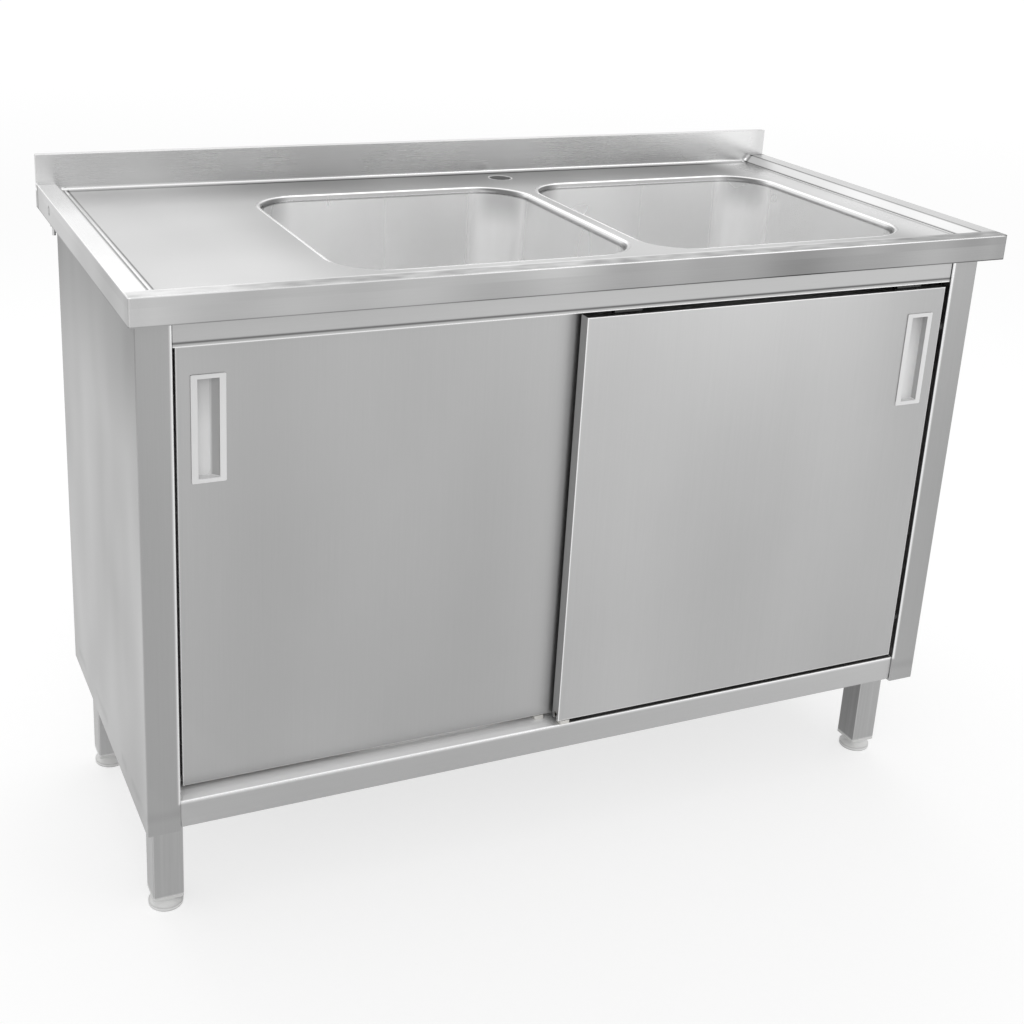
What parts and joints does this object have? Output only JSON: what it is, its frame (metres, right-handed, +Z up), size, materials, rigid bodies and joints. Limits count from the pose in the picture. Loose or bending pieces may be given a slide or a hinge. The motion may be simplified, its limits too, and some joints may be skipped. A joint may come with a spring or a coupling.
{
  "type": "kitchen sink unit",
  "caption": "Stainless steel sink unit: worktop with square bowls, drainer and upstand on a floor cabinet with sliding doors and short legs on adjustable feet.",
  "frame": {"origin": "on the floor, under the middle of the worktop's bounding box", "axes": "+X along the worktop to its right end, +Y to the upstand and wall, +Z up; the doors face -Y"},
  "size_m": [1.2, 0.6, 0.89],
  "materials": {
    "worktop_steel": "satin",
    "bowl_steel": "satin",
    "cabinet_steel": "satin",
    "door_steel": "satin",
    "leg_steel": "satin",
    "track_steel": "satin",
    "fastener_steel": "satin",
    "waste_steel": "polished",
    "waste_plastic": "satin",
    "rubber": "matte",
    "board_wood": "matte",
    "core_cardboard": "matte",
    "pull_plastic": "satin",
    "nylon": "satin",
    "insert_plastic": "satin",
    "foot_plastic": "satin"
  },
  "bodies": {
    "cabinet": {"back_panel_left": "cabinet_steel", "back_panel_right": "cabinet_steel", "bonding_stud": "fastener_steel", "bottom_shelf": "cabinet_steel", "bowl_left": "bowl_steel", "bowl_right": "bowl_steel", "door_buffers": "rubber", "drainer_board": "board_wood", "front_rail": "cabinet_steel", "guide_left_door": "nylon", "guide_right_door": "nylon", "guide_screws": "fastener_steel", "leg_bolts": "fastener_steel", "leg_front_left": "leg_steel", "leg_front_right": "leg_steel", "leg_insert_front_left": "insert_plastic", "leg_insert_front_right": "insert_plastic", "leg_insert_rear_left": "insert_plastic", "leg_insert_rear_right": "insert_plastic", "leg_rear_left": "leg_steel", "leg_rear_right": "leg_steel", "rear_rail": "cabinet_steel", "shelf_stiffeners": "cabinet_steel", "side_panel_left": "cabinet_steel", "side_panel_right": "cabinet_steel", "track_left_door": "track_steel", "track_right_door": "track_steel", "track_screws": "fastener_steel", "track_stops": "rubber", "waste_flange_left": "waste_steel", "waste_flange_right": "waste_steel", "waste_gasket_left": "rubber", "waste_gasket_right": "rubber", "waste_screw_left": "waste_steel", "waste_screw_right": "waste_steel", "waste_tail_left": "waste_plastic", "waste_tail_right": "waste_plastic", "worktop": "worktop_steel"},
    "sliding_door_left": {"door_left_back": "door_steel", "door_left_core": "core_cardboard", "door_left_front": "door_steel", "hanger_screws_left": "fastener_steel", "hangers_left": "track_steel", "pull_left": "pull_plastic", "roller_axles_left": "fastener_steel"},
    "sliding_door_right": {"door_right_back": "door_steel", "door_right_core": "core_cardboard", "door_right_front": "door_steel", "hanger_screws_right": "fastener_steel", "hangers_right": "track_steel", "pull_right": "pull_plastic", "roller_axles_right": "fastener_steel"},
    "roller_left_1_wheel": {"roller_left_1": "nylon"},
    "roller_left_2_wheel": {"roller_left_2": "nylon"},
    "roller_right_1_wheel": {"roller_right_1": "nylon"},
    "roller_right_2_wheel": {"roller_right_2": "nylon"},
    "foot_front_left_screw": {"foot_front_left": "foot_plastic"},
    "foot_front_right_screw": {"foot_front_right": "foot_plastic"},
    "foot_rear_left_screw": {"foot_rear_left": "foot_plastic"},
    "foot_rear_right_screw": {"foot_rear_right": "foot_plastic"}
  },
  "joints": [
    {"name": "left_door_slide", "type": "slide", "parent": "cabinet", "child": "sliding_door_left", "axis": [1, 0, 0], "range_m": [0, 0.481]},
    {"name": "roller_left_1_spin", "type": "hinge", "parent": "sliding_door_left", "child": "roller_left_1_wheel", "pos_m": [-0.477, -0.2265, 0.8031], "axis": [0, 1, 0], "continuous": true},
    {"name": "roller_left_2_spin", "type": "hinge", "parent": "sliding_door_left", "child": "roller_left_2_wheel", "pos_m": [-0.036, -0.2265, 0.8031], "axis": [0, 1, 0], "continuous": true},
    {"name": "right_door_slide", "type": "slide", "parent": "cabinet", "child": "sliding_door_right", "axis": [-1, 0, 0], "range_m": [0, 0.481]},
    {"name": "roller_right_1_spin", "type": "hinge", "parent": "sliding_door_right", "child": "roller_right_1_wheel", "pos_m": [0.036, -0.25, 0.8031], "axis": [0, 1, 0], "continuous": true},
    {"name": "roller_right_2_spin", "type": "hinge", "parent": "sliding_door_right", "child": "roller_right_2_wheel", "pos_m": [0.477, -0.25, 0.8031], "axis": [0, 1, 0], "continuous": true},
    {"name": "foot_front_left_adjust", "type": "slide", "parent": "cabinet", "child": "foot_front_left_screw", "axis": [0, 0, -1], "range_m": [-0.003, 0.03]},
    {"name": "foot_front_right_adjust", "type": "slide", "parent": "cabinet", "child": "foot_front_right_screw", "axis": [0, 0, -1], "range_m": [-0.003, 0.03]},
    {"name": "foot_rear_left_adjust", "type": "slide", "parent": "cabinet", "child": "foot_rear_left_screw", "axis": [0, 0, -1], "range_m": [-0.003, 0.03]},
    {"name": "foot_rear_right_adjust", "type": "slide", "parent": "cabinet", "child": "foot_rear_right_screw", "axis": [0, 0, -1], "range_m": [-0.003, 0.03]}
  ],
  "couplings": [
    {"joint": "roller_left_1_spin", "follows": "left_door_slide", "rad_per_m": 90.909},
    {"joint": "roller_left_2_spin", "follows": "left_door_slide", "rad_per_m": 90.909},
    {"joint": "roller_right_1_spin", "follows": "right_door_slide", "rad_per_m": -90.909},
    {"joint": "roller_right_2_spin", "follows": "right_door_slide", "rad_per_m": -90.909}
  ]
}
